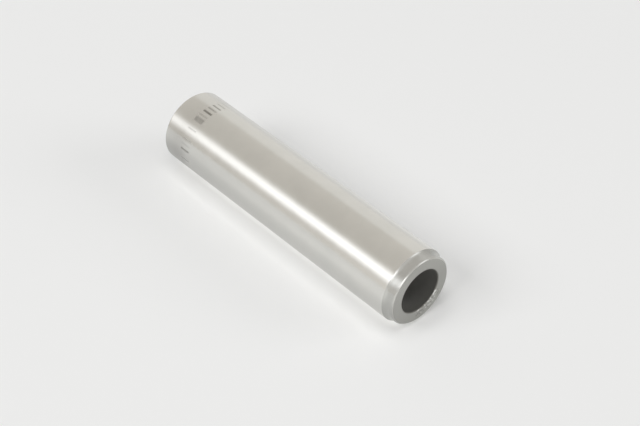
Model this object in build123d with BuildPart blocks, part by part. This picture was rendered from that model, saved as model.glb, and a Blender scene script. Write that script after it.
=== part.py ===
"""Valve guide: the iron sleeve, pressed into a cylinder head, that a valve stem slides in.

It is one turned and ground piece. Its origin is the centre of the full-diameter end face,
on which it stands, and +Z runs along the bore towards the stepped nose.
"""

import os
from math import sqrt

from build123d import *

# Driving dimensions, in millimetres
overall_length = 64.0
barrel_diameter = 15.0
bore_diameter = 9.0

# The nose is the short end of smaller diameter, which the head leaves standing free.
nose_length = 2.2
nose_step = 0.5
nose_edge_chamfer = 0.3
# The tool leaves a fillet behind the nose. It is tangent to the nose and runs out at an
# angle on the ground barrel, where the edge stays sharp.
nose_fillet_radius = 1.6

# Small breaks at the two mouths of the bore and round the foot
nose_mouth_chamfer = 0.2
foot_mouth_chamfer = 0.3
foot_edge_chamfer = 0.2

# Radii and heights that follow from the driving dimensions
barrel_radius = barrel_diameter / 2
bore_radius = bore_diameter / 2
nose_radius = barrel_radius - nose_step
barrel_end = overall_length - nose_length
fillet_rise = sqrt(2 * nose_fillet_radius * nose_step - nose_step**2)


# Valve guide
with BuildPart() as valve_guide:
    with BuildSketch(Plane.XZ):
        with BuildLine():
            barrel_side = Polyline(
                (bore_radius + foot_mouth_chamfer, 0),
                (barrel_radius - foot_edge_chamfer, 0),
                (barrel_radius, foot_edge_chamfer),
                (barrel_radius, barrel_end),
            )
            nose_fillet = RadiusArc(
                barrel_side @ 1,
                (nose_radius, barrel_end + fillet_rise),
                nose_fillet_radius,
            )
            Polyline(
                nose_fillet @ 1,
                (nose_radius, overall_length - nose_edge_chamfer),
                (nose_radius - nose_edge_chamfer, overall_length),
                (bore_radius + nose_mouth_chamfer, overall_length),
                (bore_radius, overall_length - nose_mouth_chamfer),
                (bore_radius, foot_mouth_chamfer),
                barrel_side @ 0,
            )
        make_face()
    revolve(axis=Axis.Z)

valve_guide.part.label = "valve_guide"

os.makedirs("parts", exist_ok=True)
export_step(valve_guide.part, "parts/valve_guide.step")
print("valve_guide volume", round(valve_guide.part.volume), "mm3")
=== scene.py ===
# %% [markdown]
# # A valve guide
# A valve guide is a plain iron sleeve, about as long as a finger. It is pressed into the
# cylinder head of an engine, and the stem of a valve slides up and down in its bore. This
# notebook dresses the CAD sleeve with the finish of the real one: a barrel ground bright, a
# short turned nose, two faced ends and a dark reamed bore.
#
# The CAD model is loaded first. It fixes where everything is, so its box is kept here and printed.

# %% Load the frame
from math import atan2, cos, degrees, hypot, pi, radians, sin, sqrt, tan
from random import Random

import bpy
from mathutils import Matrix, Vector


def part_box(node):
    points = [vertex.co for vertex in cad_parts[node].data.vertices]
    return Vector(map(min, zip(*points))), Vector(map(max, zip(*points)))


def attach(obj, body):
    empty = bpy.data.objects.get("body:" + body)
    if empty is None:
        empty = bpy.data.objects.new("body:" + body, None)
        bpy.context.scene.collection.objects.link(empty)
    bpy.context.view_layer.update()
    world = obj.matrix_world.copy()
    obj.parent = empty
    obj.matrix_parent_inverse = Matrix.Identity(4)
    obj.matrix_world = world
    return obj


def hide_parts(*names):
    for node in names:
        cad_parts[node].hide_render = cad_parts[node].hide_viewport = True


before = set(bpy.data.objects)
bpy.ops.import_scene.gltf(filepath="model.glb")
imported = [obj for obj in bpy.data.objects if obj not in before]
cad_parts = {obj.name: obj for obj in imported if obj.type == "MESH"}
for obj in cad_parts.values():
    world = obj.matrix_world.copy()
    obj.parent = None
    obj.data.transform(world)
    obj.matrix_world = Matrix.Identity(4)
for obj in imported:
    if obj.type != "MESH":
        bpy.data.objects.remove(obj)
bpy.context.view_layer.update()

cad_low, cad_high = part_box("valve_guide")
print("CAD box in mm", [round(1000 * v, 2) for v in (*cad_low, *cad_high)])

# %% [markdown]
# ## Sizes
# A guide is measured in millimetres and Blender counts in metres, so every size is written
# in millimetres and turned to metres where it is used. These are the sizes of the CAD
# sleeve: the barrel, the bore, and the nose with the hollow fillet that the turning tool
# leaves behind it.

# %% Sizes of the sleeve in millimetres
MM = 0.001
LENGTH = 64.0
BARREL_RADIUS = 7.5
BORE_RADIUS = 4.5
NOSE_RADIUS = 7.0
NOSE_LENGTH = 2.2
FILLET_RADIUS = 1.6
NOSE_CHAMFER = 0.3
NOSE_MOUTH = 0.2
FOOT_CHAMFER = 0.2
FOOT_MOUTH = 0.3

BARREL_END = LENGTH - NOSE_LENGTH
STEP = BARREL_RADIUS - NOSE_RADIUS
FILLET_RISE = sqrt(2 * FILLET_RADIUS * STEP - STEP**2)
print("the fillet rises", round(FILLET_RISE, 3), "mm above the barrel's sharp edge")

# %% [markdown]
# ## Colours
# A hex colour is written the way a screen shows it. Blender mixes light in linear values,
# so one function turns the hex into those.

# %% From sRGB hex to linear


def linear(colour):
    """Linear red, green, blue and alpha of an sRGB hex colour such as #ECECEA."""
    values = [int(colour[i : i + 2], 16) / 255 for i in (1, 3, 5)]
    return (*[v / 12.92 if v <= 0.04045 else ((v + 0.055) / 1.055) ** 2.4 for v in values], 1.0)


print("mid grey #808080 is", [round(v, 3) for v in linear("#808080")])

# %% [markdown]
# ## Camera
# The sleeve stands on its foot in the CAD frame, and in the picture it lies on its side
# with the nose towards the camera. So the camera is the thing that is turned: it looks
# down at the nose from one side, and it is rolled until the barrel runs from the upper
# left to the lower right. A constraint could aim it, but would hold it upright, so its place
# and two of its axes are given instead. The lens is a long one, which keeps the two rims
# nearly alike.

# %% Make the camera
CAMERA_PLACE = Vector((0.217208, -0.031798, 0.181465))
CAMERA_UP = Vector((0.207593, -0.844283, -0.494055))
CAMERA_BACK = Vector((0.826897, -0.118384, 0.549752))

camera_data = bpy.data.cameras.new("camera")
camera_data.lens = 78.75
camera_data.sensor_width = 36.0
camera_data.clip_start = 0.01
camera_data.clip_end = 10.0
camera = bpy.data.objects.new("camera", camera_data)
bpy.context.scene.collection.objects.link(camera)
axes = (CAMERA_UP.cross(CAMERA_BACK).normalized(), CAMERA_UP.normalized(), CAMERA_BACK.normalized())
camera.matrix_world = Matrix.Translation(CAMERA_PLACE) @ Matrix(axes).transposed().to_4x4()
bpy.context.scene.camera = camera
print("the camera stands", round(CAMERA_PLACE.length / MM), "mm from the middle of the foot")

# %% [markdown]
# ## Directions round the sleeve
# The floor that the sleeve lies on is an upright plane here, touching the barrel along one
# line. Three directions describe the room round the barrel: `ABOVE`, straight off that
# floor, `LEFT`, along the floor at right angles to the barrel, and `ALONG`, down the barrel
# to its foot. An angle round the barrel is counted from `ABOVE` towards `LEFT`.

# %% Directions of the studio
ABOVE = Vector((1, -1, 0)).normalized()
LEFT = Vector((1, 1, 0)).normalized()
ALONG = Vector((0, 0, -1))
MIDDLE = Vector((0, 0, LENGTH / 2 * MM))


def round_barrel(angle):
    """The direction that points away from the barrel's axis at this angle in degrees."""
    return cos(radians(angle)) * ABOVE + sin(radians(angle)) * LEFT


def angle_of(point):
    """The angle round the barrel at which a point lies, in degrees from -180 to 180."""
    return degrees(atan2(point.dot(LEFT), point.dot(ABOVE)))


print("the floor lies", BARREL_RADIUS, "mm behind the axis, towards", tuple(round(v, 2) for v in -ABOVE))

# %% [markdown]
# ## Nodes
# Every material below is a small graph of nodes. One function adds a node: it takes the
# node's kind, its settings, and what goes into its sockets. That is a value, another node's
# output, or a whole node, which stands for its first output.

# %% One function for nodes


def add_node(tree, kind, settings=None, **sockets):
    """Adds a node. A socket is named as on the node, with _ for a space, or by its number as in_0."""
    node = tree.nodes.new(kind)
    for name, value in (settings or {}).items():
        setattr(node, name, value)
    for name, value in sockets.items():
        socket = node.inputs[int(name[3:])] if name.startswith("in_") else node.inputs[name.replace("_", " ")]
        if isinstance(value, bpy.types.Node):
            value = value.outputs[0]
        if isinstance(value, bpy.types.NodeSocket):
            tree.links.new(value, socket)
        else:
            socket.default_value = value
    return node


# %% [markdown]
# ## Floor
# The real one lies on white paper, which is matt and keeps the sleeve's soft shadow. It
# could be swept up behind the sleeve, but the camera looks down on it and sees no end of it,
# so it is one large plane. It lies a hair's breadth off the barrel and faces `ABOVE`. In its
# own coordinates X runs to the right of the barrel and Y towards the foot.

# %% Lay the floor
FLOOR_SIZE = 3.0
FLOOR_GAP = 0.01 * MM


def deselect_all():
    """Leaves nothing selected, because an operator acts on all that is."""
    bpy.ops.object.select_all(action="DESELECT")


deselect_all()
bpy.ops.mesh.primitive_plane_add(size=FLOOR_SIZE)
floor = bpy.context.active_object
floor.name = "floor"
floor_axes = (ALONG.cross(ABOVE), ALONG, ABOVE)
floor.matrix_world = (
    Matrix.Translation(-ABOVE * (BARREL_RADIUS * MM + FLOOR_GAP))
    @ Matrix([v.normalized() for v in floor_axes]).transposed().to_4x4()
)
print("floor of", FLOOR_SIZE, "m, facing", tuple(round(v, 2) for v in ABOVE))

# %% [markdown]
# Where the barrel reflects the paper, part of what it sees is a glow of the paper's own, as
# if light came through it, so that the side it lies on isn't black. The glow is a sum of
# slopes: one that falls close under the barrel, one that grows far from it, one that weakens
# towards the foot, and one that grows ahead of the nose, less so on the right. The bright
# barrel also throws light back on the paper beside it, which a last slope gives.

# %% Slopes across the paper
BOUNCE_NEAR, BOUNCE_FAR = 1.8, 0.2

paper = bpy.data.materials.new("white_paper")
paper.use_nodes = True
tree = paper.node_tree
tree.nodes.clear()
place = add_node(tree, "ShaderNodeTexCoord")
parts = add_node(tree, "ShaderNodeSeparateXYZ", in_0=place.outputs["Object"])
rightwards, footwards = parts.outputs[0], parts.outputs[1]
aside = add_node(tree, "ShaderNodeMath", {"operation": "ABSOLUTE"}, in_0=rightwards)

# What each slope follows, where it starts and ends in millimetres, and its value at both
SLOPES = {
    "under": (aside, 4.5, 7.0, 0.38, 0.28),
    "beyond": (aside, 9.0, 24.0, 0.0, 0.5),
    "to_foot": (footwards, -32.0, 10.0, 0.02, -0.16),
    "ahead": (footwards, -(LENGTH - 0.5), -(LENGTH + 11.0), 0.0, 0.62),
    "less_right": (rightwards, 5.0, 12.0, 1.0, 0.55),
    "bounce": (aside, 5.0, 15.0, BOUNCE_NEAR, BOUNCE_FAR),
}
slopes = {}
for name, (follows, start, end, first, last) in SLOPES.items():
    slopes[name] = add_node(
        tree,
        "ShaderNodeMapRange",
        Value=follows,
        From_Min=start * MM,
        From_Max=end * MM,
        To_Min=first,
        To_Max=last,
    )
ahead_left = add_node(
    tree, "ShaderNodeMath", {"operation": "MULTIPLY"}, in_0=slopes["ahead"], in_1=slopes["less_right"]
)
glow_tone = slopes["under"]
for part in (slopes["beyond"], slopes["to_foot"], ahead_left):
    glow_tone = add_node(tree, "ShaderNodeMath", {"operation": "ADD"}, in_0=glow_tone, in_1=part)
print(len(slopes), "slopes across the paper")

# %% [markdown]
# The paper is then put together from its layers. A reflection sees a share of the glow. A
# ray that leaves the paper and comes back to it off the metal finds the paper brighter, and
# that keeps the shadow under the left side faint. The paper has no back: seen from behind it
# is clear, so that side of the sleeve can be looked at too.

# %% Put the paper together
GLOW_SHARE = 0.4

geometry = add_node(tree, "ShaderNodeNewGeometry")
ray = add_node(tree, "ShaderNodeLightPath")
sheet = add_node(tree, "ShaderNodeBsdfDiffuse", Color=linear("#F0F0EF"))
glow = add_node(tree, "ShaderNodeEmission", Color=linear("#FFFEF8"), Strength=glow_tone)
share = add_node(
    tree, "ShaderNodeMath", {"operation": "MULTIPLY"}, in_0=ray.outputs["Is Glossy Ray"], in_1=GLOW_SHARE
)
mirrored = add_node(tree, "ShaderNodeMixShader", in_0=share, in_1=sheet, in_2=glow)
bounced = add_node(
    tree,
    "ShaderNodeMath",
    {"operation": "MULTIPLY", "use_clamp": True},
    in_0=ray.outputs["Is Glossy Ray"],
    in_1=ray.outputs["Diffuse Depth"],
)
bounce = add_node(tree, "ShaderNodeEmission", Color=linear("#FFFFFF"), Strength=slopes["bounce"])
seen = add_node(tree, "ShaderNodeMixShader", in_0=bounced, in_1=mirrored, in_2=bounce)
clear = add_node(tree, "ShaderNodeBsdfTransparent")
sides = add_node(
    tree, "ShaderNodeMixShader", in_0=geometry.outputs["Backfacing"], in_1=seen, in_2=clear
)
add_node(tree, "ShaderNodeOutputMaterial", Surface=sides)
floor.data.materials.append(paper)
print(paper.name, "has", len(tree.nodes), "nodes")

# %% [markdown]
# ## Light
# Bright metal has hardly any colour of its own. What the eye sees on it is the room, so the
# room is made first: white walls all round, a grey ceiling over the barrel, and one long
# softbox in front of that ceiling, which the barrel shows as a white line along its whole
# length. The camera and all reflections see the walls in one pale tone. The walls light the
# paper less than that, because lamps give the rest and the soft shadows.

# %% White walls
WALL_TONE = "#E6E4DF"
WALL_LIGHT = 0.29

bpy.context.scene.view_settings.view_transform = "Standard"
world = bpy.data.worlds.new("studio")
bpy.context.scene.world = world
world.use_nodes = True
tree = world.node_tree
tree.nodes.clear()
ray = add_node(tree, "ShaderNodeLightPath")
seen = ray.outputs["Is Camera Ray"]
for kind in ("Is Glossy Ray", "Is Transmission Ray"):
    seen = add_node(tree, "ShaderNodeMath", {"operation": "MAXIMUM"}, in_0=seen, in_1=ray.outputs[kind])
room_light = add_node(tree, "ShaderNodeBackground", Color=linear("#FFFFFF"), Strength=WALL_LIGHT)
room_seen = add_node(tree, "ShaderNodeBackground", Color=linear(WALL_TONE), Strength=1.0)
room = add_node(tree, "ShaderNodeMixShader", in_0=seen, in_1=room_light, in_2=room_seen)
add_node(tree, "ShaderNodeOutputWorld", Surface=room)
print("walls", [round(v, 3) for v in linear(WALL_TONE)[:3]])

# %% [markdown]
# The ceiling is an arched card round the barrel. It could be flat, but an arc is as far
# from every side of the barrel, so the angles at which it ends can be chosen. Only
# reflections see it, so it takes no light from the floor and casts no shadow. A ring is
# merged to one point, the point is drawn out to a line along the barrel, and the line is
# spun to an arc. Without a window Blender's Spin turns the other way round, so its angle is
# given a minus sign.

# %% Arch the ceiling
# Angles are in degrees, and distances from the foot in metres
CEILING_RADIUS = 0.8
CEILING_FROM, CEILING_TO = -43, 92
CEILING_LOW, CEILING_HIGH = -1.0, 0.45
CEILING_STEPS = 27

deselect_all()
bpy.ops.mesh.primitive_circle_add(vertices=3, radius=0.01)
ceiling = bpy.context.active_object
ceiling.name = "ceiling"
bpy.ops.object.mode_set(mode="EDIT")
bpy.ops.mesh.select_all(action="SELECT")
bpy.ops.mesh.merge(type="CENTER")
bpy.ops.transform.translate(value=round_barrel(CEILING_FROM) * CEILING_RADIUS + Vector((0, 0, CEILING_LOW)))
bpy.ops.mesh.extrude_region_move(
    TRANSFORM_OT_translate={"value": (0, 0, CEILING_HIGH - CEILING_LOW)}
)
bpy.ops.mesh.select_all(action="SELECT")
bpy.ops.mesh.spin(
    steps=CEILING_STEPS,
    angle=-radians(CEILING_TO - CEILING_FROM),
    center=(0, 0, 0),
    axis=(0, 0, 1),
)
bpy.ops.object.mode_set(mode="OBJECT")
reach = sorted(round(angle_of(v.co)) for v in ceiling.data.vertices)
print("the ceiling reaches from", reach[0], "to", reach[-1], "degrees round the barrel")

# %% [markdown]
# The card glows with its own grey light, which isn't even. It is a little darker on the left, and its lower
# edge there is lighter towards the nose. Distances on it are measured from the barrel, in metres.

# %% Paint the ceiling
FALL_FROM, FALL_TO = -0.5, 0.3
EDGE_FROM, EDGE_TO = 0.755, 0.795
LIGHTER_FROM, LIGHTER_TO = 0.62, 0.42

grey_card = bpy.data.materials.new("grey_card")
grey_card.use_nodes = True
tree = grey_card.node_tree
tree.nodes.clear()
place = add_node(tree, "ShaderNodeTexCoord")
on_card = {}
for name, direction in (("left", LEFT), ("foot", ALONG)):
    measure = add_node(
        tree,
        "ShaderNodeVectorMath",
        {"operation": "DOT_PRODUCT"},
        in_0=place.outputs["Object"],
        in_1=direction,
    )
    on_card[name] = measure.outputs["Value"]
fall = add_node(tree, "ShaderNodeMapRange", Value=on_card["left"], From_Min=FALL_FROM, From_Max=FALL_TO)
tone = add_node(
    tree, "ShaderNodeMix", {"data_type": "RGBA"}, in_0=fall, in_6=linear("#D3CFC8"), in_7=linear("#C9C5BE")
)
low_edge = add_node(tree, "ShaderNodeMapRange", Value=on_card["left"], From_Min=EDGE_FROM, From_Max=EDGE_TO)
near_nose = add_node(
    tree, "ShaderNodeMapRange", Value=on_card["foot"], From_Min=LIGHTER_FROM, From_Max=LIGHTER_TO
)
lighter = add_node(tree, "ShaderNodeMath", {"operation": "MULTIPLY"}, in_0=low_edge, in_1=near_nose)
edge_tone = add_node(
    tree,
    "ShaderNodeMix",
    {"data_type": "RGBA"},
    in_0=lighter,
    in_6=tone.outputs[2],
    in_7=linear("#E2DED7"),
)
card = add_node(tree, "ShaderNodeEmission", Color=edge_tone.outputs[2], Strength=1.0)
add_node(tree, "ShaderNodeOutputMaterial", Surface=card)
ceiling.data.materials.append(grey_card)
print(grey_card.name, "has", len(tree.nodes), "nodes")

# %% [markdown]
# The softbox hangs in front of the ceiling, and it is much longer than the barrel. Its cloth
# fades towards its edges and both ends, so the white line on the barrel has soft sides and
# dims a little at the nose and at the foot. It could be an area lamp, but a lamp's edge is
# hard, and it would light the paper too. So it is a plane whose emission fades to clear,
# again seen by reflections only. Two smaller cards stand in front of the nose, one on each
# side, and put the two bright glints on the nose's edge.

# %% Place a card
CARD_DISTANCE = 0.6


def facing_barrel(angle, tilt, distance):
    """The place and turn of a card round the barrel that faces it. The angle goes round, the tilt along."""
    towards = cos(radians(tilt)) * round_barrel(angle) + sin(radians(tilt)) * ALONG
    side = round_barrel(angle + 90)
    turn = Matrix((side, towards.cross(side), towards)).transposed().to_4x4()
    return Matrix.Translation(MIDDLE + towards * distance) @ turn


print("cards hang", CARD_DISTANCE, "m from the middle of the barrel")

# %% [markdown]
# A card is hung by where it is seen from the barrel. Its `across` is half its width and its
# `flat` half the evenly bright middle, both in degrees. Its `reach` is half its length and
# its `fade` the soft part at the foot's end and at the nose's, in metres.

# %% Make a card
CARD_SOFTNESS = 3.0


def hang_card(name, angle, tilt, across, flat, reach, fade, strength):
    """A bright card that faces the barrel and fades to clear at its sides and ends."""
    deselect_all()
    bpy.ops.mesh.primitive_plane_add(size=2.0)
    card = bpy.context.active_object
    card.name = name
    half = CARD_DISTANCE * tan(radians(across))
    card.matrix_world = facing_barrel(angle, tilt, CARD_DISTANCE) @ Matrix.Diagonal((half, reach, 1.0, 1.0))
    cloth = bpy.data.materials.new(name + "_cloth")
    cloth.use_nodes = True
    tree = cloth.node_tree
    tree.nodes.clear()
    place = add_node(tree, "ShaderNodeTexCoord")
    parts = add_node(tree, "ShaderNodeSeparateXYZ", in_0=place.outputs["Object"])
    aside = add_node(tree, "ShaderNodeMath", {"operation": "ABSOLUTE"}, in_0=parts.outputs[0])
    inner = add_node(
        tree,
        "ShaderNodeMapRange",
        {"interpolation_type": "SMOOTHSTEP"},
        Value=aside,
        From_Min=1.0,
        From_Max=flat / across,
    )
    amount = add_node(tree, "ShaderNodeMath", {"operation": "POWER"}, in_0=inner, in_1=CARD_SOFTNESS)
    for end, soft in zip((-1.0, 1.0), fade):
        shade = add_node(
            tree,
            "ShaderNodeMapRange",
            Value=parts.outputs[1],
            From_Min=end,
            From_Max=end * (1.0 - soft / reach),
        )
        amount = add_node(tree, "ShaderNodeMath", {"operation": "MULTIPLY"}, in_0=amount, in_1=shade)
    clear = add_node(tree, "ShaderNodeBsdfTransparent")
    white = add_node(tree, "ShaderNodeEmission", Color=linear("#FFFFFF"), Strength=strength)
    lit = add_node(tree, "ShaderNodeMixShader", in_0=amount, in_1=clear, in_2=white)
    add_node(tree, "ShaderNodeOutputMaterial", Surface=lit)
    card.data.materials.append(cloth)
    print(name, round(2 * half, 3), "by", round(2 * reach, 3), "m")
    return card


# %% [markdown]
# The softbox hangs to the upper left of the barrel, where the white line is seen. A tilt
# below 0 leads towards the nose, and past it stand the two small cards. Only reflections
# see the three of them and the ceiling.

# %% Hang the softbox and the cards
softbox = hang_card(
    "softbox", angle=56.2, tilt=0.0, across=30.0, flat=3.0, reach=0.93, fade=(0.6, 0.68), strength=1.62
)
front_card = hang_card(
    "front_card", angle=47.0, tilt=-56.0, across=20.0, flat=8.0, reach=0.2, fade=(0.15, 0.15), strength=2.7
)
right_card = hang_card(
    "right_card", angle=-50.0, tilt=-40.0, across=24.0, flat=6.0, reach=0.16, fade=(0.1, 0.1), strength=1.7
)
CARDS = (ceiling, softbox, front_card, right_card)
for card in CARDS:
    for kind in ("camera", "diffuse", "transmission", "volume_scatter", "shadow"):
        setattr(card, "visible_" + kind, False)
print(len(CARDS), "cards that only reflections see")

# %% [markdown]
# Three lamps light only the paper. One lamp would throw only one shadow, and the sleeve has
# two. The lamp on the left, where the softbox is, puts a soft shadow on the right of the
# barrel, the one overhead lights all the rest, and a weak one on the right gives the faint
# second shadow. A lamp's power is worked out from how bright its face should look, because
# a square metre of an area lamp with a radiance of 1 gives pi watts.

# %% Lamps
LAMP_DISTANCE = 3.0


def hang_lamp(name, angle, tilt, across, long, radiance):
    """An area lamp round the barrel, which only matt surfaces see. Its size is in degrees."""
    data = bpy.data.lights.new(name, "AREA")
    data.shape = "RECTANGLE"
    data.size = 2 * LAMP_DISTANCE * tan(radians(across / 2)) * cos(radians(tilt))
    data.size_y = 2 * LAMP_DISTANCE * tan(radians(long / 2))
    data.energy = pi * data.size * data.size_y * radiance
    lamp = bpy.data.objects.new(name, data)
    bpy.context.scene.collection.objects.link(lamp)
    lamp.matrix_world = facing_barrel(angle, tilt, LAMP_DISTANCE)
    lamp.visible_camera = False
    lamp.visible_glossy = False
    print(name, round(data.size, 3), "by", round(data.size_y, 3), "m,", round(data.energy, 2), "W")


hang_lamp("top_lamp", angle=8.0, tilt=-4.0, across=30.0, long=40.0, radiance=3.5)
hang_lamp("left_lamp", angle=50.0, tilt=8.0, across=24.0, long=40.0, radiance=3.9)
hang_lamp("right_lamp", angle=-58.0, tilt=-43.0, across=24.0, long=30.0, radiance=3.3)

# %% [markdown]
# ## The sleeve's shape
# The real sleeve is turned on a lathe: a tool follows its outline while the bar spins. It
# could be a cylinder with a thinner one cut out of it, but the cut leaves its ends as a few
# huge faces, and the burr and the marks need fine ones. So the mesh is turned too, ring by
# ring along the outline, which is listed first as pairs of radius and height. The rings lie
# closer by an edge, so that its rounding doesn't bend the shading far from it, and closer
# still near the foot, where a row of marks is etched later.

# %% The outline to follow
SEGMENTS = 360
FILLET_STEPS = 14
FACE_STEP = 0.25
BARREL_STEP = 1.0
MARKS_STEP = 0.1
BORE_STEP = 2.0
MARKS_LOW, MARKS_HIGH = 4.7, 7.7


def between(start, end, step):
    """Values from start to end, evenly spaced by about this step, without the start."""
    count = max(1, round(abs(end - start) / step))
    return [start + (end - start) * i / count for i in range(1, count + 1)]


outline = [(BORE_RADIUS + FOOT_MOUTH, 0.0)]
outline += [(r, 0.0) for r in between(BORE_RADIUS + FOOT_MOUTH, BARREL_RADIUS - FOOT_CHAMFER, FACE_STEP)]
outline += [(BARREL_RADIUS, FOOT_CHAMFER)]
outline += [(BARREL_RADIUS, z) for z in (0.5, 1.0)]
outline += [(BARREL_RADIUS, z) for z in between(1.0, MARKS_LOW, BARREL_STEP)]
outline += [(BARREL_RADIUS, z) for z in between(MARKS_LOW, MARKS_HIGH, MARKS_STEP)]
outline += [(BARREL_RADIUS, z) for z in between(MARKS_HIGH, BARREL_END - 1.0, BARREL_STEP)]
outline += [(BARREL_RADIUS, z) for z in (BARREL_END - 0.3, BARREL_END)]

fillet_centre = (NOSE_RADIUS + FILLET_RADIUS, BARREL_END + FILLET_RISE)
fillet_start = atan2(FILLET_RISE, FILLET_RADIUS - STEP)
for angle in between(fillet_start, 0.0, fillet_start / FILLET_STEPS):
    outline.append(
        (fillet_centre[0] - FILLET_RADIUS * cos(angle), fillet_centre[1] - FILLET_RADIUS * sin(angle))
    )

outline += [(NOSE_RADIUS, z) for z in (LENGTH - NOSE_CHAMFER - 0.25, LENGTH - NOSE_CHAMFER)]
outline += [(NOSE_RADIUS - NOSE_CHAMFER, LENGTH)]
outline += [(r, LENGTH) for r in between(NOSE_RADIUS - NOSE_CHAMFER, BORE_RADIUS + NOSE_MOUTH, FACE_STEP)]
outline += [(BORE_RADIUS, LENGTH - NOSE_MOUTH)]
outline += [(BORE_RADIUS, z) for z in (LENGTH - 0.5, LENGTH - 1.0)]
outline += [(BORE_RADIUS, z) for z in between(LENGTH - 1.0, 1.0, BORE_STEP)]
outline += [(BORE_RADIUS, z) for z in (0.6, FOOT_MOUTH)]
outline += [outline[0]]
print(len(outline), "rings of", SEGMENTS, "points")

# %% [markdown]
# A ring is added at the foot's mouth, and it is extruded and scaled again and again, across
# the foot, up the barrel, round the nose and down the bore, until it meets itself. Spinning
# a drawn outline would give the same shape with a seam. This way leaves no seam and no pole,
# and every ring is exactly round.

# %% Turn the sleeve
deselect_all()
first_radius, first_height = outline[0]
bpy.ops.mesh.primitive_circle_add(
    vertices=SEGMENTS, radius=first_radius * MM, location=(0, 0, first_height * MM)
)
sleeve = bpy.context.active_object
sleeve.name = "guide_sleeve"
bpy.ops.object.mode_set(mode="EDIT")
bpy.ops.mesh.select_all(action="SELECT")
for (radius, height), (next_radius, next_height) in zip(outline, outline[1:]):
    bpy.ops.mesh.extrude_region_move(
        TRANSFORM_OT_translate={"value": (0, 0, (next_height - height) * MM)}
    )
    grow = next_radius / radius
    bpy.ops.transform.resize(value=(grow, grow, 1), center_override=(0, 0, next_height * MM))
bpy.ops.mesh.select_all(action="SELECT")
bpy.ops.mesh.remove_doubles(threshold=0.001 * MM)
bpy.ops.mesh.normals_make_consistent(inside=False)
bpy.ops.object.mode_set(mode="OBJECT")
print(len(sleeve.data.vertices), "points,", len(sleeve.data.polygons), "faces")

# %% [markdown]
# A turned edge is never perfectly sharp. A Bevel modifier would round every edge by the same
# width, but the nose's outer edge, which is handled most, is worn the roundest. So each ring
# where two surfaces meet is selected by its radius and height and bevelled by its own width.
# Edge select mode comes first, because in vertex mode the short edges between two
# neighbouring rings would be selected too.

# %% Round the edges
SHARP_CORNERS = [
    (BORE_RADIUS + FOOT_MOUTH, 0.0),
    (BORE_RADIUS, FOOT_MOUTH),
    (BARREL_RADIUS - FOOT_CHAMFER, 0.0),
    (BARREL_RADIUS, FOOT_CHAMFER),
    (BARREL_RADIUS, BARREL_END),
    (BORE_RADIUS + NOSE_MOUTH, LENGTH),
    (BORE_RADIUS, LENGTH - NOSE_MOUTH),
]
WORN_CORNERS = [(NOSE_RADIUS, LENGTH - NOSE_CHAMFER), (NOSE_RADIUS - NOSE_CHAMFER, LENGTH)]
SHARP_WIDTH, WORN_WIDTH = 0.035, 0.12
RING_TOLERANCE = 0.005


def round_rings(corners, width):
    """Bevels each ring of edges at one of these radii and heights by this width, all in millimetres."""
    bpy.context.tool_settings.mesh_select_mode = (False, True, False)
    ring_of = {}
    for vertex in sleeve.data.vertices:
        x, y, z = vertex.co / MM
        for number, (radius, height) in enumerate(corners):
            if abs(hypot(x, y) - radius) < RING_TOLERANCE and abs(z - height) < RING_TOLERANCE:
                ring_of[vertex.index] = number
    for element in (*sleeve.data.vertices, *sleeve.data.polygons):
        element.select = False
    for edge in sleeve.data.edges:
        start, end = edge.vertices
        edge.select = start in ring_of and ring_of[start] == ring_of.get(end)
    bpy.ops.object.mode_set(mode="EDIT")
    bpy.ops.mesh.bevel(offset=width * MM, segments=3, affect="EDGES")
    bpy.ops.object.mode_set(mode="OBJECT")
    print(len(ring_of) // SEGMENTS, "rings rounded by", width, "mm")


deselect_all()
sleeve.select_set(True)
bpy.context.view_layer.objects.active = sleeve
round_rings(SHARP_CORNERS, SHARP_WIDTH)
round_rings(WORN_CORNERS, WORN_WIDTH)
bpy.ops.object.shade_smooth_by_angle(angle=radians(40))

# %% [markdown]
# The reamer has left a fine torn burr round part of the nose's mouth, on the side that lies
# nearest the floor. A bump in the material could hint at it, but torn metal really stands
# up. So the small break round the mouth is pushed up there, in clumps a few tenths of a
# millimetre wide, by a seeded random amount. Each point carries a number, `burr`: torn metal
# is brighter than the cut face, and its number is above 0. Next to it are flecks, light ones
# and dark ones, in rows round the mouth, and the dark ones have a number below 0.

# %% Burr at the mouth
# Angles round the mouth are in degrees, and sizes in millimetres. Distances count outwards
# from the outer edge of the break.
BURR_FROM, BURR_TO = 172, 244
BURR_CLUMP = 4
BURR_HEIGHT = 0.12
BURR_DEPTH = 0.05
BREAK_INSIDE = -0.02
TEARS = (0.0, 0.3, 1.0)
FLECK_TONES = (0.0, 0.0, 0.5, -0.8)
FLECK_ANGLE = 3
FLECK_ROWS = 4
FLECK_WIDTH = 0.27
FLECKS_FROM = 0.12

chance = Random(9)
clumps = [chance.choice(TEARS) for _ in range((BURR_TO - BURR_FROM) // BURR_CLUMP)]
flecks = [
    [chance.choice(FLECK_TONES) for _ in range((BURR_TO - BURR_FROM) // FLECK_ANGLE)]
    for _ in range(FLECK_ROWS)
]
burr = sleeve.data.attributes.new("burr", "FLOAT", "POINT")
burred = 0
for point in sleeve.data.vertices:
    x, y, z = point.co / MM
    turn = angle_of(point.co) % 360
    out = hypot(x, y) - BORE_RADIUS - NOSE_MOUTH
    row = int(out / FLECK_WIDTH)
    if not BURR_FROM < turn < BURR_TO or z < LENGTH - NOSE_MOUTH - BURR_DEPTH or row >= FLECK_ROWS:
        continue
    if out > FLECKS_FROM:
        burr.data[point.index].value = flecks[row][int((turn - BURR_FROM) / FLECK_ANGLE)]
        continue
    tear = clumps[int((turn - BURR_FROM) / BURR_CLUMP)] * chance.uniform(0.5, 1.0)
    burr.data[point.index].value = tear
    if out < BREAK_INSIDE:
        point.co.z = min(LENGTH, z + BURR_HEIGHT * tear) * MM
    burred += tear > 0
print(burred, "points of the mouth burred")

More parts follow.
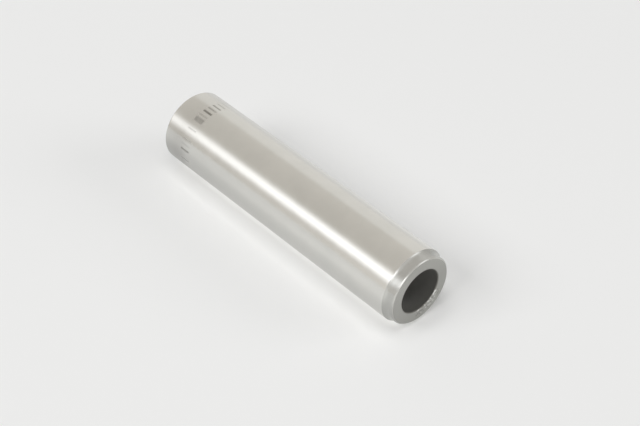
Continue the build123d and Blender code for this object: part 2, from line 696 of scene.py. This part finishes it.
# %% [markdown]
# ## Etched marks
# A row of marks is etched round the barrel near the foot. Acid eats a few hundredths of a
# millimetre off the ground skin and leaves a dull dark floor. Here they are plain bars.
# They could be cut with a boolean, but so shallow a step would leave ragged slivers. The
# close rings near the foot make another way possible: a function says how deep the barrel is
# etched at any place, and the points there are moved in.

# %% Plan a row of bars
MARK_MIDDLE = 6.2
MARK_HEIGHT = 2.4
MARK_PITCH = 8.85
MARK_DEPTH = 0.02
MARK_SOFTNESS = 0.05
FIRST_MARK = -44.5
# Each bar's width in millimetres and its darkness from 0 to 1, in order round the barrel
MARKS = [
    (0.4, 0.3), (0.4, 0.0), (0.4, 0.15), (0.4, 0.35), (0.4, 0.7), (0.4, 0.55), (0.45, 0.9), (0.4, 0.3),
    (1.1, 0.55), (0.4, 0.0), (0.4, 0.25), (0.4, 0.0), (0.4, 0.25), (0.4, 0.15), (0.4, 0.7), (0.4, 0.0),
    (0.4, 0.25), (0.4, 0.0), (0.4, 0.15), (0.4, 0.0), (0.4, 0.5), (0.4, 0.3), (0.4, 0.7), (0.4, 0.0),
    (0.4, 0.5), (0.4, 0.6), (1.0, 0.6), (0.4, 0.0), (0.4, 0.4), (0.4, 0.3), (0.4, 0.8), (0.4, 0.0),
    (0.4, 0.6), (0.4, 0.4), (0.4, 0.7), (0.4, 0.0), (1.1, 0.5), (0.4, 0.0), (0.4, 0.4), (0.4, 0.3),
]


def ramp(value, low, high):
    """0 below low, 1 above high, and a straight slope between them."""
    return min(1.0, max(0.0, (value - low) / (high - low)))


def inside(distance, half):
    """1 within this half width of a bar and 0 outside it, with a soft edge."""
    return 1 - ramp(distance, half - MARK_SOFTNESS, half + MARK_SOFTNESS)


def etched(angle, height):
    """How deep the barrel is etched at this angle in degrees and height in millimetres, from 0 to 1."""
    turn = (angle - FIRST_MARK + MARK_PITCH / 2) % 360
    number = int(turn // MARK_PITCH)
    if number >= len(MARKS):
        return 0.0
    width, darkness = MARKS[number]
    aside = radians(abs(turn % MARK_PITCH - MARK_PITCH / 2)) * BARREL_RADIUS
    return darkness * inside(aside, width / 2) * inside(abs(height - MARK_MIDDLE), MARK_HEIGHT / 2)


print("the middle of the first bar is etched to", etched(FIRST_MARK, MARK_MIDDLE), "of the full depth")

# %% [markdown]
# The points inside a bar are moved in towards the axis, and they carry a number, `etch`, from
# which the material takes the dark tone. A point is on the barrel's skin if it lies within
# 0.01 mm of its radius.

# %% Etch the bars
SKIN = 0.01

etch = sleeve.data.attributes.new("etch", "FLOAT", "POINT")
moved = 0
for point in sleeve.data.vertices:
    x, y, z = point.co / MM
    depth = 0.0
    if hypot(x, y) > BARREL_RADIUS - SKIN and MARKS_LOW < z < MARKS_HIGH:
        depth = etched(angle_of(point.co), z)
    etch.data[point.index].value = depth
    if depth:
        inward = 1 - MARK_DEPTH * depth / BARREL_RADIUS
        point.co.x *= inward
        point.co.y *= inward
        moved += 1
print(moved, "points etched in", sum(d > 0 for _, d in MARKS), "bars")

# %% [markdown]
# ## Materials
# Every finish is cut into the same grey cast iron. Its patterns could be laid out on a UV
# map, but the sleeve has no seam to unwrap it at, so they read its object coordinates. A
# real texture is measured in millimetres, and the coordinates are turned to millimetres
# first. The scale of a pattern is then 1 divided by the size of what it shows.

# %% Start a material


def new_finish(name):
    """An empty material, and object coordinates in millimetres."""
    finish = bpy.data.materials.new(name)
    finish.use_nodes = True
    finish.node_tree.nodes.clear()
    metres = add_node(finish.node_tree, "ShaderNodeTexCoord")
    scaled = add_node(
        finish.node_tree,
        "ShaderNodeVectorMath",
        {"operation": "SCALE"},
        in_0=metres.outputs["Object"],
        Scale=1 / MM,
    )
    return finish, finish.node_tree, scaled.outputs[0]


# %% [markdown]
# ## Ground barrel
# The barrel is grey iron, ground bright on a centreless grinder. Handling leaves faint clouds on it. Its
# colour is also darker in a band by the foot, most of it on the left.

# %% Ground iron: its colour
CLOUD_SIZE = 5.0
# The band's heights above the foot, and how far to the left it is darkest, in millimetres
BAND_FROM, BAND_TO = 7.5, 4.5
FOOT_FROM, FOOT_TO = 0.5, 3.2
LEFT_DARK_FROM, LEFT_DARK_TO = 6.1, 6.9
LEAST_DARKENING = 0.35

ground, tree, mm = new_finish("ground_iron")
clouds = add_node(
    tree, "ShaderNodeTexNoise", Vector=mm, Scale=1 / CLOUD_SIZE, Detail=3.0, Roughness=0.55
)
ground_colour = add_node(
    tree, "ShaderNodeMix", {"data_type": "RGBA"}, in_0=clouds, in_6=linear("#DFDFDC"), in_7=linear("#EAE9E6")
)
height = add_node(tree, "ShaderNodeSeparateXYZ", in_0=mm).outputs[2]
left_side = add_node(tree, "ShaderNodeVectorMath", {"operation": "DOT_PRODUCT"}, in_0=mm, in_1=LEFT)
foot_darkening = add_node(
    tree,
    "ShaderNodeMapRange",
    {"interpolation_type": "SMOOTHSTEP"},
    Value=height,
    From_Min=BAND_FROM,
    From_Max=BAND_TO,
)
for follows, start, end in (
    (left_side.outputs["Value"], LEFT_DARK_FROM, LEFT_DARK_TO),
    (height, FOOT_FROM, FOOT_TO),
):
    share = add_node(
        tree, "ShaderNodeMapRange", Value=follows, From_Min=start, From_Max=end, To_Min=LEAST_DARKENING
    )
    foot_darkening = add_node(tree, "ShaderNodeMath", {"operation": "MULTIPLY"}, in_0=foot_darkening, in_1=share)
foot_darkened_colour = add_node(
    tree,
    "ShaderNodeMix",
    {"data_type": "RGBA"},
    in_0=foot_darkening,
    in_6=ground_colour.outputs[2],
    in_7=linear("#D4D3D0"),
)
print("clouds of", CLOUD_SIZE, "mm and a band up to", BAND_FROM, "mm from the foot")

# %% [markdown]
# The acid doesn't bite evenly. The tone of a bar is its `etch` number, broken up a little by
# patches just under a millimetre wide, and an etched floor is matt.

# %% Ground iron: its marks
BITE_SIZE = 0.8
ETCHED_BLUR = 0.5

marks = add_node(tree, "ShaderNodeAttribute", {"attribute_name": "etch"})
uneven = add_node(tree, "ShaderNodeTexNoise", Vector=mm, Scale=1 / BITE_SIZE, Detail=1.0)
uneven_share = add_node(
    tree, "ShaderNodeMapRange", Value=uneven, From_Min=0.35, From_Max=0.6, To_Min=0.8
)
mark_tone = add_node(
    tree, "ShaderNodeMath", {"operation": "MULTIPLY"}, in_0=marks.outputs["Fac"], in_1=uneven_share
)
marked_colour = add_node(
    tree,
    "ShaderNodeMix",
    {"data_type": "RGBA"},
    in_0=mark_tone,
    in_6=foot_darkened_colour.outputs[2],
    in_7=linear("#85837E"),
)
ground_blur = add_node(tree, "ShaderNodeMapRange", Value=clouds, To_Min=0.20, To_Max=0.26)
marked_blur = add_node(tree, "ShaderNodeMix", in_0=mark_tone, in_2=ground_blur, in_3=ETCHED_BLUR)
print("patches of", BITE_SIZE, "mm in the marks")

# %% [markdown]
# The wheel leaves a fine lay round the barrel, a hundredth of a millimetre wide. The eye
# reads it as a satin sheen, more blurred along the barrel than across it, so the shader is
# anisotropic. The lay itself is drawn as streaks 0.2 mm wide, as coarse as it needs to show.
# The wheel also leaves the surface a little wavy, over a few millimetres, and the edge of a
# reflection wavers with it.

# %% Ground iron: its surface
WAVE_SIZE = 2.5
WAVE_DEPTH = 0.018
LAY_STREAKS = (0.15, 0.15, 5.0)  # per millimetre along X, Y and Z
LAY_DEPTH = 0.0008

waves = add_node(tree, "ShaderNodeTexNoise", Vector=mm, Scale=1 / WAVE_SIZE, Detail=2.0)
wave_relief = add_node(tree, "ShaderNodeBump", Strength=1.0, Distance=WAVE_DEPTH * MM, Height=waves)
stretch = add_node(tree, "ShaderNodeMapping", Vector=mm, Scale=LAY_STREAKS)
lay = add_node(tree, "ShaderNodeTexNoise", Vector=stretch, Scale=1.0, Detail=2.0)
lay_relief = add_node(
    tree, "ShaderNodeBump", Strength=1.0, Distance=LAY_DEPTH * MM, Height=lay, Normal=wave_relief
)
around = add_node(tree, "ShaderNodeTangent", {"direction_type": "RADIAL", "axis": "Z"})
iron = add_node(
    tree,
    "ShaderNodeBsdfPrincipled",
    Base_Color=marked_colour.outputs[2],
    Metallic=1.0,
    Roughness=marked_blur,
    Anisotropic=0.4,
    Anisotropic_Rotation=0.25,
    Tangent=around,
    Normal=lay_relief,
)
add_node(tree, "ShaderNodeOutputMaterial", Surface=iron)
print(ground.name, "has", len(tree.nodes), "nodes")

# %% [markdown]
# ## Turned nose
# The nose and its fillet are left as the turning tool cut them, so they look darker and softer than the
# barrel. Their right side is painted darker, a painted shade that dims the reflections there. It fades in
# over the 0.3 mm below the nose's worn edge, and the edge itself is left out of it.

# %% Turned iron: its colour
# Painted shade on the right: the angle it faces in degrees, where it fades in and the part below the edge it
# spares, in millimetres
SHADE_ANGLE = -42
SHADE_FROM, SHADE_TO = 6.1, 6.9
UNSHADED_EDGE = 0.3

turned, tree, mm = new_finish("turned_iron")
right_side = add_node(
    tree, "ShaderNodeVectorMath", {"operation": "DOT_PRODUCT"}, in_0=mm, in_1=round_barrel(SHADE_ANGLE)
)
right_shade = add_node(
    tree, "ShaderNodeMapRange", Value=right_side.outputs["Value"], From_Min=SHADE_FROM, From_Max=SHADE_TO
)
height = add_node(tree, "ShaderNodeSeparateXYZ", in_0=mm).outputs[2]
below_edge = add_node(
    tree,
    "ShaderNodeMapRange",
    Value=height,
    From_Min=LENGTH - NOSE_CHAMFER,
    From_Max=LENGTH - NOSE_CHAMFER - UNSHADED_EDGE,
)
painted_right_shade = add_node(tree, "ShaderNodeMath", {"operation": "MULTIPLY"}, in_0=right_shade, in_1=below_edge)
# The darker grey is the painted shade on the right
turned_colour = add_node(
    tree, "ShaderNodeMix", {"data_type": "RGBA"}, in_0=painted_right_shade, in_6=linear("#C1C1BE"), in_7=linear("#AEAEAB")
)
print("painted shade on the right, kept off the upper", UNSHADED_EDGE, "mm of the nose's side")

# %% [markdown]
# The tool's feed leaves fine grooves round the nose, 0.2 mm apart, which scatter more light
# than grinding does. They could be real rings in the mesh, but at that size a bump looks the
# same. A wave texture of scale 1 repeats every 0.314 units, so its scale is 0.314 divided by
# the pitch.

# %% Turned iron: its surface
WAVE_REPEAT = 0.314
GROOVE_PITCH = 0.2
TOOL_MARK_DEPTH = 0.004

grooves = add_node(
    tree,
    "ShaderNodeTexWave",
    {"wave_type": "BANDS", "bands_direction": "Z"},
    Vector=mm,
    Scale=WAVE_REPEAT / GROOVE_PITCH,
    Distortion=0.6,
)
groove_relief = add_node(
    tree, "ShaderNodeBump", Strength=1.0, Distance=TOOL_MARK_DEPTH * MM, Height=grooves.outputs[1]
)
around = add_node(tree, "ShaderNodeTangent", {"direction_type": "RADIAL", "axis": "Z"})
iron = add_node(
    tree,
    "ShaderNodeBsdfPrincipled",
    Base_Color=turned_colour.outputs[2],
    Metallic=0.8,
    Roughness=0.23,
    Anisotropic=0.3,
    Anisotropic_Rotation=0.25,
    Tangent=around,
    Normal=groove_relief,
)
add_node(tree, "ShaderNodeOutputMaterial", Surface=iron)
print(turned.name, "has", len(tree.nodes), "nodes")

# %% [markdown]
# ## Faced ends
# Each end is cut square by a facing tool that moves outwards as the sleeve spins. The small break round each
# mouth is painted darker the deeper it lies below the face, a painted shade in the recess. The torn burr and
# the light flecks beside it are bare and bright, and the dark flecks hold oil, in the same dark grey. The
# painted shade follows the distance from the sleeve's middle, which is the same at both ends, so one small
# function measures it for the ends and later for the bore.

# %% Distance from the middle


def from_middle(tree, mm):
    """How far a point lies above or below the sleeve's half height, in millimetres."""
    height = add_node(tree, "ShaderNodeSeparateXYZ", in_0=mm).outputs[2]
    offset = add_node(tree, "ShaderNodeMath", {"operation": "SUBTRACT"}, in_0=height, in_1=LENGTH / 2)
    return add_node(tree, "ShaderNodeMath", {"operation": "ABSOLUTE"}, in_0=offset)


print("the middle is", LENGTH / 2, "mm above the foot")

# %% [markdown]
# The colour is the bare grey, then the bright torn metal, and over both the painted shade of the break and
# the dark flecks. The shade fades to nothing at the flat face and leaves torn metal bare.

# %% Faced iron: its colour
# How far below the face the painted shade in a break is darkest, in millimetres
BREAK_SHADE_DEPTH = 0.09

faced, tree, mm = new_finish("faced_iron")
torn = add_node(tree, "ShaderNodeAttribute", {"attribute_name": "burr"})
faced_colour = add_node(
    tree,
    "ShaderNodeMix",
    {"data_type": "RGBA"},
    in_0=torn.outputs["Fac"],
    in_6=linear("#B1B1AE"),
    in_7=linear("#F4F4F2"),
)
# Painted shade in a mouth's break, darker the deeper it lies
break_shade = add_node(
    tree,
    "ShaderNodeMapRange",
    Value=from_middle(tree, mm),
    From_Min=LENGTH / 2,
    From_Max=LENGTH / 2 - BREAK_SHADE_DEPTH,
)
# Torn metal is kept out of the painted shade, and the dark flecks take its dark grey
break_shade_and_oil_flecks = add_node(
    tree,
    "ShaderNodeMath",
    {"operation": "SUBTRACT", "use_clamp": True},
    in_0=break_shade,
    in_1=torn.outputs["Fac"],
)
shaded_and_flecked_face = add_node(
    tree,
    "ShaderNodeMix",
    {"data_type": "RGBA"},
    in_0=break_shade_and_oil_flecks,
    in_6=faced_colour.outputs[2],
    in_7=linear("#7E7D79"),
)
print("the painted shade in the break is darkest from", BREAK_SHADE_DEPTH, "mm below the face of an end")

# %% [markdown]
# The facing tool's rings are fine and matt, and turn the end into a plain grey. They are the
# same wave texture as the nose's grooves, in rings round the sleeve's axis.

# %% Faced iron: its surface
RING_PITCH = 0.25

rings = add_node(
    tree,
    "ShaderNodeTexWave",
    {"wave_type": "RINGS", "rings_direction": "Z"},
    Vector=mm,
    Scale=WAVE_REPEAT / RING_PITCH,
    Distortion=0.8,
)
ring_relief = add_node(
    tree, "ShaderNodeBump", Strength=1.0, Distance=TOOL_MARK_DEPTH * MM, Height=rings.outputs[1]
)
around = add_node(tree, "ShaderNodeTangent", {"direction_type": "RADIAL", "axis": "Z"})
iron = add_node(
    tree,
    "ShaderNodeBsdfPrincipled",
    Base_Color=shaded_and_flecked_face.outputs[2],
    Metallic=1.0,
    Roughness=0.45,
    Anisotropic=0.6,
    Anisotropic_Rotation=0.25,
    Tangent=around,
    Normal=ring_relief,
)
add_node(tree, "ShaderNodeOutputMaterial", Surface=iron)
print(faced.name, "has", len(tree.nodes), "nodes")

# %% [markdown]
# ## Reamed bore
# The bore is reamed to size and keeps a film of dark oil, so it is nearly black inside. Its colour is painted
# darker over the last 6 mm towards each mouth, where light reaches in, and left lighter deeper in, where
# shade falls, so that the bore reads evenly dark: painted shade and painted light. Oily iron shines little,
# so it is hardly metallic and quite rough. A coat of clear oil could be laid over bare metal instead, but
# that would bring bright reflections back into the bore.

# %% Reamed iron
# How far in from each mouth the painted shade reaches, in millimetres; deeper in, the colour is painted
# lighter
BORE_GRADIENT_LENGTH = 6.0

reamed, tree, mm = new_finish("reamed_iron")
# Painted light and shade: darker near the mouths, where light reaches in, lighter deep inside
painted_bore_gradient = add_node(
    tree,
    "ShaderNodeMapRange",
    Value=from_middle(tree, mm),
    From_Min=LENGTH / 2 - BORE_GRADIENT_LENGTH,
    From_Max=LENGTH / 2,
)
bore_gradient_colour = add_node(
    tree,
    "ShaderNodeMix",
    {"data_type": "RGBA"},
    in_0=painted_bore_gradient,
    in_6=linear("#A09F9B"),
    in_7=linear("#5C5B57"),
)
iron = add_node(
    tree,
    "ShaderNodeBsdfPrincipled",
    Base_Color=bore_gradient_colour.outputs[2],
    Metallic=0.3,
    Roughness=0.8,
)
add_node(tree, "ShaderNodeOutputMaterial", Surface=iron)
print(reamed.name, "has", len(tree.nodes), "nodes")

# %% [markdown]
# ## The finished sleeve
# The finishes could be split off as pieces of their own, but a real guide is one piece. So
# each face takes its finish from its place and the way it faces. Inside the bore it is
# reamed, flat across an end or on a mouth's break it is faced, past the barrel's sharp edge
# it is turned, and all the rest is ground.

# %% Give each face its finish
FINISHES = (ground, turned, faced, reamed)
# How upright the normal of a flat end is at least, and how far outside the bore's radius a
# face of its wall may lie, in millimetres
FLAT = 0.9
WALL_MARGIN = 0.02

for finish in FINISHES:
    sleeve.data.materials.append(finish)
counts = dict.fromkeys((finish.name for finish in FINISHES), 0)
for face in sleeve.data.polygons:
    centre = face.center / MM
    radius = hypot(centre.x, centre.y)
    if radius < BORE_RADIUS + WALL_MARGIN:
        finish = reamed
    elif abs(face.normal.z) > FLAT or radius < BORE_RADIUS + FOOT_MOUTH:
        finish = faced
    elif centre.z > BARREL_END:
        finish = turned
    else:
        finish = ground
    face.material_index = FINISHES.index(finish)
    counts[finish.name] += 1
print("faces of each finish:", counts)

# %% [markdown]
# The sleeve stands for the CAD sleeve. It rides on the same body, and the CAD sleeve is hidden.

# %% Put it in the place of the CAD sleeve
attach(sleeve, "root")
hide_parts("valve_guide")
